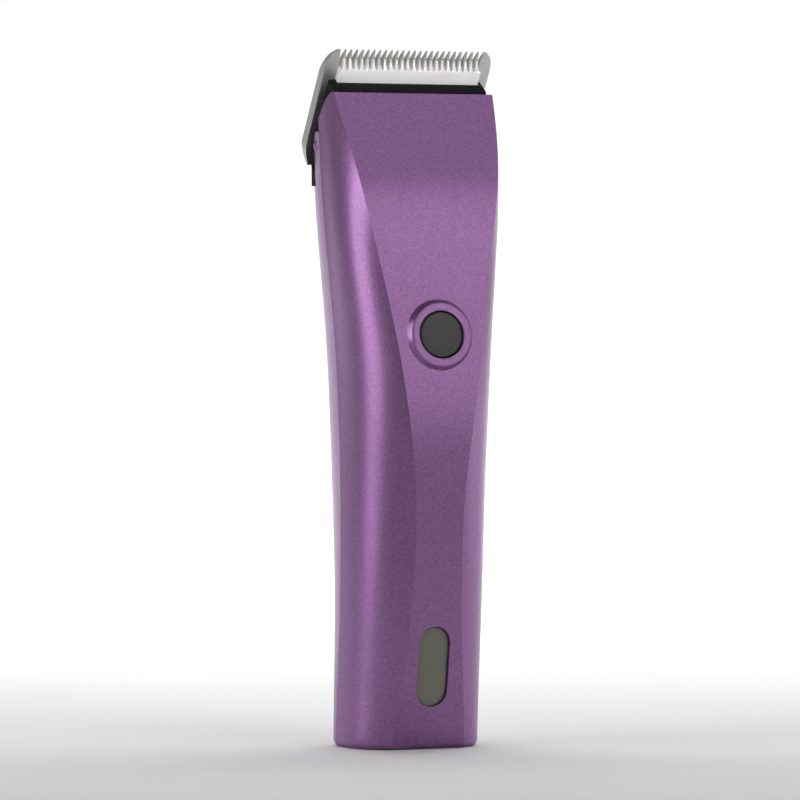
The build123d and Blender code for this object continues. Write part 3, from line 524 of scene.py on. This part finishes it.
def cylinder_between(name, p, q, r, seg=48):
    """closed cutter cylinder, points in mm"""
    p, q = Vector(p), Vector(q)
    ax = (q - p).normalized()
    s = ax.orthogonal().normalized()
    t = ax.cross(s)
    verts, faces = [], []
    for e in (p, q):
        for k in range(seg):
            a = 2 * math.pi * k / seg
            verts.append(tuple(e + r * (math.cos(a) * s + math.sin(a) * t)))
    for k in range(seg):
        j = (k + 1) % seg
        faces.append((k, j, seg + j, seg + k))
    faces.append(tuple(range(seg))[::-1])
    faces.append(tuple(range(seg, 2 * seg)))
    return new_mesh(name, verts, faces, False)


def cut(ob, cutters):
    for c in cutters:
        m = ob.modifiers.new("cut", "BOOLEAN")
        m.object = c
        m.operation = "DIFFERENCE"
        m.solver = "EXACT"
    apply_modifiers(ob)
    for c in cutters:
        bpy.data.objects.remove(c)


def rim_weights(ob, least=35.0):
    """mark the rims and hole edges for rounding, and leave the long creases of the panel crisp"""
    me = ob.data
    bm = bmesh.new()
    bm.from_mesh(me)
    lay = bm.edges.layers.float.get("bevel_weight_edge") or bm.edges.layers.float.new("bevel_weight_edge")
    for e in bm.edges:
        if len(e.link_faces) != 2 or e.calc_face_angle(0.0) < math.radians(least):
            e[lay] = 0.0
            continue
        along = (e.verts[1].co - e.verts[0].co)
        mid = (e.verts[0].co + e.verts[1].co) / 2 / MM
        row = row_at(max(0.0, min(169.0, mid.z)))
        near = False
        for w in (0.0, 1.7):
            p0 = control(row, w)[0]
            if abs(abs(mid.x) - p0[0]) < 0.8 and abs(mid.y + Y0 - p0[1]) < 0.8:
                near = True
        steep = along.length > 0 and abs(along.z) > 0.5 * along.length
        e[lay] = 0.0 if near and steep else 1.0
    bm.to_mesh(me)
    bm.free()


def skin(name, data, cutters):
    v, f = data
    ob = new_mesh(name, v, f, True, 13.0)
    so = ob.modifiers.new("wall", "SOLIDIFY")
    so.thickness = 1.7 * MM
    so.offset = -1.0
    so.use_even_offset = True
    apply_modifiers(ob)
    if cutters:
        cut(ob, cutters)
    finish_shading(ob, True, 13.0)
    return ob


JACK_Y = -5.5
front = skin("front_shell_skin", build_front(), [cylinder_between("c1", (0, JACK_Y, -2), (0, JACK_Y, 5), 4.05)])
SCREWS = [(12.4, 8.0), (-12.4, 8.0), (13.4, 94.0), (-13.4, 94.0)]
cutters = [cylinder_between("c2", (sx, 27.3 - Y0, sz), (sx, 60 - Y0, sz), 2.4) for sx, sz in SCREWS]
for gz in (60.0, 66.0, 72.0):
    cutters.append(cylinder_between("c3", (-9, row_at(gz)[6] + 0.35 - Y0, gz), (9, row_at(gz)[6] + 0.35 - Y0, gz), 0.9, 24))
rear = skin("rear_shell_skin", build_rear(), cutters)
for ob, node in ((front, "front_shell"), (rear, "rear_shell")):
    put(ob, M_PURPLE)
    rim_weights(ob)
    bevel(ob, 0.30, 48.0, 3).limit_method = "WEIGHT"
    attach(ob, "handle")
    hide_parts(node)


def lathe(name, profile, origin, axis, up, seg=96, closed=True, sharp=28.0):
    """turned solid; profile is (radius, height) in mm; origin mm; axis unit"""
    o, n, e = Vector(origin), Vector(axis).normalized(), Vector(up).normalized()
    s = n.cross(e)
    verts, faces = [], []
    rings = []
    for r, h in profile:
        if r < 1e-6:
            verts.append(tuple(o + n * h))
            rings.append([len(verts) - 1])
            continue
        g = []
        for k in range(seg):
            a = 2 * math.pi * k / seg
            verts.append(tuple(o + n * h + r * (math.cos(a) * s + math.sin(a) * e)))
            g.append(len(verts) - 1)
        rings.append(g)
    pairs = list(zip(rings, rings[1:]))
    if closed:
        pairs.append((rings[-1], rings[0]))
    for p, q in pairs:
        for k in range(seg):
            j = (k + 1) % seg
            if len(p) == 1 and len(q) == 1:
                continue
            if len(p) == 1:
                faces.append((p[0], q[j], q[k]))
            elif len(q) == 1:
                faces.append((p[k], p[j], q[0]))
            else:
                faces.append((p[k], p[j], q[j], q[k]))
    return new_mesh(name, verts, faces, True, sharp)


BS = math.radians(6.9)
B_O = (0, 1.77 - Y0, 105.6)
B_N = (0, -math.cos(BS), math.sin(BS))
B_U = (0, math.sin(BS), math.cos(BS))

# purple ring round the button, with a soft foot and rolled edges
ring_profile = [(9.15, -0.55), (9.10, -0.1), (9.02, 0.04), (8.92, 0.16), (8.80, 0.34), (8.40, 1.05), (8.22, 1.36), (8.12, 1.50), (7.98, 1.58), (7.8, 1.6),
                (6.45, 1.6), (6.28, 1.585), (6.15, 1.53), (6.08, 1.44), (6.05, 1.32), (6.05, -2.6), (7.3, -2.6), (7.3, -0.55)]
ring = lathe("button_ring", ring_profile, B_O, B_N, B_U, 120)
put(ring, M_PURPLE)
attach(ring, "handle")

cap_profile = [(0.0, 1.12), (1.2, 1.125), (2.4, 1.15), (3.6, 1.20), (4.6, 1.27), (5.1, 1.33), (5.35, 1.35), (5.52, 1.32), (5.65, 1.22), (5.72, 1.05),
               (5.72, -2.4), (6.85, -2.45), (6.85, -2.98), (1.6, -3.0), (1.55, -3.85), (0.0, -3.88)]
cap = lathe("button_cap", cap_profile, B_O, B_N, B_U, 96, closed=False)
put(cap, M_BUTTON)
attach(cap, "button")
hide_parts("power_button")

# small rounded nubs on the sides of the rear shell, beside the blade's hinge
NUB_Z, NUB_D = 154.0, 29.0
nub_row = row_at(NUB_Z)
nub_pts = control(nub_row, 0.0)
nub_t = min((abs(bez(nub_pts[3], nub_pts[4], nub_pts[5], nub_pts[6], k / 200)[1] - NUB_D), k / 200) for k in range(201))[1]
nub_x = bez(nub_pts[3], nub_pts[4], nub_pts[5], nub_pts[6], nub_t)[0]
for side, name in ((1, "nub_right"), (-1, "nub_left")):
    prof = [(0.0, 0.44), (0.55, 0.41), (1.0, 0.32), (1.32, 0.14), (1.5, -0.12), (1.55, -0.6), (1.0, -0.9), (0.0, -0.9)]
    nub = lathe(name, prof, (side * nub_x, NUB_D - Y0, NUB_Z), (side, 0, 0), (0, 0, 1), 40, closed=False)
    put(nub, M_PURPLE)
    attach(nub, "handle")

# tubes that line the screw wells at the back
for k, (sx, sz) in enumerate(SCREWS):
    pts = control(row_at(sz), 0.0)
    # the tube ends under the skin, where the rounded corner of the shell still covers its outer edge
    best = min((abs(bez(pts[3], pts[4], pts[5], pts[6], q / 200)[0] - abs(sx) - 3.1), q / 200) for q in range(0, 201))[1]
    deep = bez(pts[3], pts[4], pts[5], pts[6], best)[1]
    top = max(28.0, deep - 1.0)
    prof = [(2.42, 27.4 - top), (2.42, 0.0), (3.1, 0.0), (3.1, 27.4 - top)]
    well = lathe("screw_well_%d" % (k + 1), prof, (sx, top - Y0, sz), (0, 1, 0), (0, 0, 1), 40, closed=True)
    put(well, M_PURPLE)
    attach(well, "handle")

# dark tube in the groove where the two shells meet: painted shade for the groove, not a part of the clipper
def seam(name, side):
    verts, faces, seg = [], [], 12
    zs = [1.8 + (156.6 - 1.8) * i / 96 for i in range(97)]
    for z in zs:
        row = row_at(z)
        for k in range(seg):
            a = 2 * math.pi * k / seg
            verts.append((side * (row[4] - 0.36 + 0.30 * math.cos(a)), row[5] - Y0 + 0.30 * math.sin(a), z))
    for i in range(len(zs) - 1):
        for k in range(seg):
            j = (k + 1) % seg
            faces.append((i * seg + k, i * seg + j, (i + 1) * seg + j, (i + 1) * seg + k))
    faces.append(tuple(range(seg)))
    faces.append(tuple(range((len(zs) - 1) * seg, len(zs) * seg))[::-1])
    ob = new_mesh(name, verts, faces, True, 60.0)
    put(ob, M_SEAM_SHADE)
    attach(ob, "handle")
    return ob


seam("seam_right", 1)
seam("seam_left", -1)

# battery window lens, following the curve of the panel
def window_lens():
    verts, faces = [], []
    seg = 24
    rings = []

    def outline(r, dep):
        pts = []
        for k in range(seg + 1):
            a = math.pi * k / seg
            pts.append((r * math.cos(a), 21.3 + 6.0 + r * math.sin(a)))
        for k in range(1, 8):
            pts.append((-r, 27.3 - 12.0 * k / 8))
        for k in range(seg + 1):
            a = math.pi + math.pi * k / seg
            pts.append((r * math.cos(a), 21.3 - 6.0 + r * math.sin(a)))
        for k in range(1, 8):
            pts.append((r, 15.3 + 12.0 * k / 8))
        g = []
        for x, z in pts:
            verts.append((x, panel_depth(z) + dep - Y0, z - 0.155 * dep))
            g.append(len(verts) - 1)
        return g

    prof = [(4.21, 2.3), (4.21, 1.25), (4.17, 1.08), (4.08, 0.99), (3.9, 0.93), (3.4, 0.88), (2.6, 0.85), (1.7, 0.83), (0.8, 0.82)]
    rings = [outline(r, d) for r, d in prof]
    n = len(rings[0])
    for p, q in zip(rings, rings[1:]):
        for k in range(n):
            j = (k + 1) % n
            faces.append((p[k], p[j], q[j], q[k]))
    # close the front with strips between mirrored points
    last = rings[-1]
    half = n // 2
    for g, flip in ((last, False), (rings[0], True)):
        m = len(g)
        # pair points left and right by their order
        order = []
        left = [k for k in range(m)]
        pairs = [(k, (seg - k) % m) for k in range(0, seg // 2 + 1)]
        for (a, b), (c, d) in zip(pairs, pairs[1:]):
            quad = [g[a], g[b], g[d], g[c]]
            if len(set(quad)) >= 3:
                faces.append(tuple(dict.fromkeys(quad)))
        # straight part
        top_l, top_r = seg, 0
        for s in range(8):
            la = seg + s
            lb = seg + s + 1
            ra = (m - s) % m
            rb = (m - s - 1) % m
            faces.append((g[la], g[lb], g[rb], g[ra]))
        base = seg + 8
        pairs = [(base + k, base + seg - k) for k in range(0, seg // 2 + 1)]
        for (a, b), (c, d) in zip(pairs, pairs[1:]):
            quad = [g[a], g[b], g[d], g[c]]
            if len(set(quad)) >= 3:
                faces.append(tuple(dict.fromkeys(quad)))
    return new_mesh("window_lens", verts, faces, True, 30.0)


lens = window_lens()
put(lens, M_WINDOW)
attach(lens, "handle")
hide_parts("battery_window")

# edge rounding and shading on the carried CAD nodes that show
for name, width, ang in (("comb_plate", 0.12, 30), ("cutter_blade", 0.08, 25), ("blade_base", 0.25, 30), ("head_frame", 0.2, 30),
                         ("taper_lever", 0.3, 30), ("comb_screws", 0.12, 30), ("charge_jack", 0.2, 40)):
    bevel(nodes[name], width, ang, 2)

# ------------------------------------------------------------------ camera
AIM = Vector((0.0, 0.0049, 0.0887))
YAW = math.radians(23.5)
DIST = 1.296
PITCH = math.radians(1.16)
cam_data = bpy.data.cameras.new("camera")
cam = bpy.data.objects.new("camera", cam_data)
bpy.context.scene.collection.objects.link(cam)
cam.location = AIM + DIST * Vector((-math.sin(YAW) * math.cos(PITCH), -math.cos(YAW) * math.cos(PITCH), math.sin(PITCH)))
cam.rotation_euler = (AIM - cam.location).to_track_quat("-Z", "Y").to_euler()
cam_data.sensor_width = 36.0
cam_data.lens = 226.3
cam_data.clip_start = 0.05
cam_data.clip_end = 20.0
bpy.context.scene.camera = cam

# ------------------------------------------------------------------ floor, backdrop, light
def studio():
    verts, faces = [], []
    # a floor that curves up into a backdrop on every side, so each view sees the same pale ground
    prof = [(0.0, 0.0), (0.9, 0.0), (1.5, 0.0), (1.9, 0.03), (2.25, 0.16), (2.5, 0.4), (2.62, 0.75), (2.66, 1.4), (2.66, 2.6)]
    seg = 64
    idx = []
    for r, h in prof:
        if r == 0:
            verts.append((0, 0, 0))
            idx.append([0])
            continue
        g = []
        for k in range(seg):
            a = 2 * math.pi * k / seg
            verts.append((r * 1000 * math.cos(a), r * 1000 * math.sin(a), h * 1000))
            g.append(len(verts) - 1)
        idx.append(g)
    for p, q in zip(idx, idx[1:]):
        for k in range(seg):
            j = (k + 1) % seg
            if len(p) == 1:
                faces.append((p[0], q[k], q[j]))
            else:
                faces.append((p[k], q[k], q[j], p[j]))
    return new_mesh("floor", verts, faces, True, 80.0)


WORLD = 0.15
floor = studio()
mt = Mat("pale_floor")
set_base(mt, 0.0, 0.9, spec=0.1)
mt.link(mt.ramp(mt.noise(6.0, 2.0), [(0.3, (0.86, 0.86, 0.86)), (0.7, (0.90, 0.90, 0.90))]), mt.b.inputs["Base Color"])
put(floor, mt.m)

world = bpy.data.worlds.new("studio")
world.use_nodes = True
world.node_tree.nodes["Background"].inputs["Color"].default_value = (1, 1, 1, 1)
world.node_tree.nodes["Background"].inputs["Strength"].default_value = WORLD
bpy.context.scene.world = world
bpy.context.scene.view_settings.view_transform = "Standard"


def area(name, az, el, dist, size, power, target=(0, 0, 0.09), size_y=None, spread=180, glossy=True):
    """az measured like the camera's: 0 in front of the panel, positive to the viewer's right"""
    data = bpy.data.lights.new(name, "AREA")
    data.energy = power
    data.shape = "RECTANGLE"
    data.size = size
    data.size_y = size_y or size
    data.spread = math.radians(spread)
    ob = bpy.data.objects.new(name, data)
    bpy.context.scene.collection.objects.link(ob)
    ob.visible_camera = False
    ob.visible_glossy = glossy
    a, e = math.radians(az), math.radians(el)
    t = Vector(target)
    ob.location = t + dist * Vector((math.sin(a) * math.cos(e), -math.cos(a) * math.cos(e), math.sin(e)))
    ob.rotation_euler = (t - ob.location).to_track_quat("-Z", "Y").to_euler()
    return ob


area("soft_left", -92, 4, 0.9, 0.45, 1.95, size_y=1.1, spread=110)
area("soft_front", 26, 13, 1.0, 0.50, 0.215, size_y=0.70, spread=70)
area("soft_high", 26, 56, 1.0, 0.60, 0.19, size_y=0.7, spread=80)
area("head_low", 4, -7, 1.0, 0.24, 0.036, target=(0, -0.005, 0.174), size_y=0.06, spread=10)
area("side_right", 84, 6, 0.9, 0.30, 0.40, size_y=0.9, spread=80)
area("backdrop_wall", -23.5, 38, 1.5, 1.4, 2.6, target=(1.02, 2.36, 0.15), size_y=0.8, glossy=False)
area("backdrop_floor", -23.5, 80, 1.4, 1.8, 24.0, target=(0.52, 1.20, 0.0), size_y=1.5, spread=110, glossy=False)
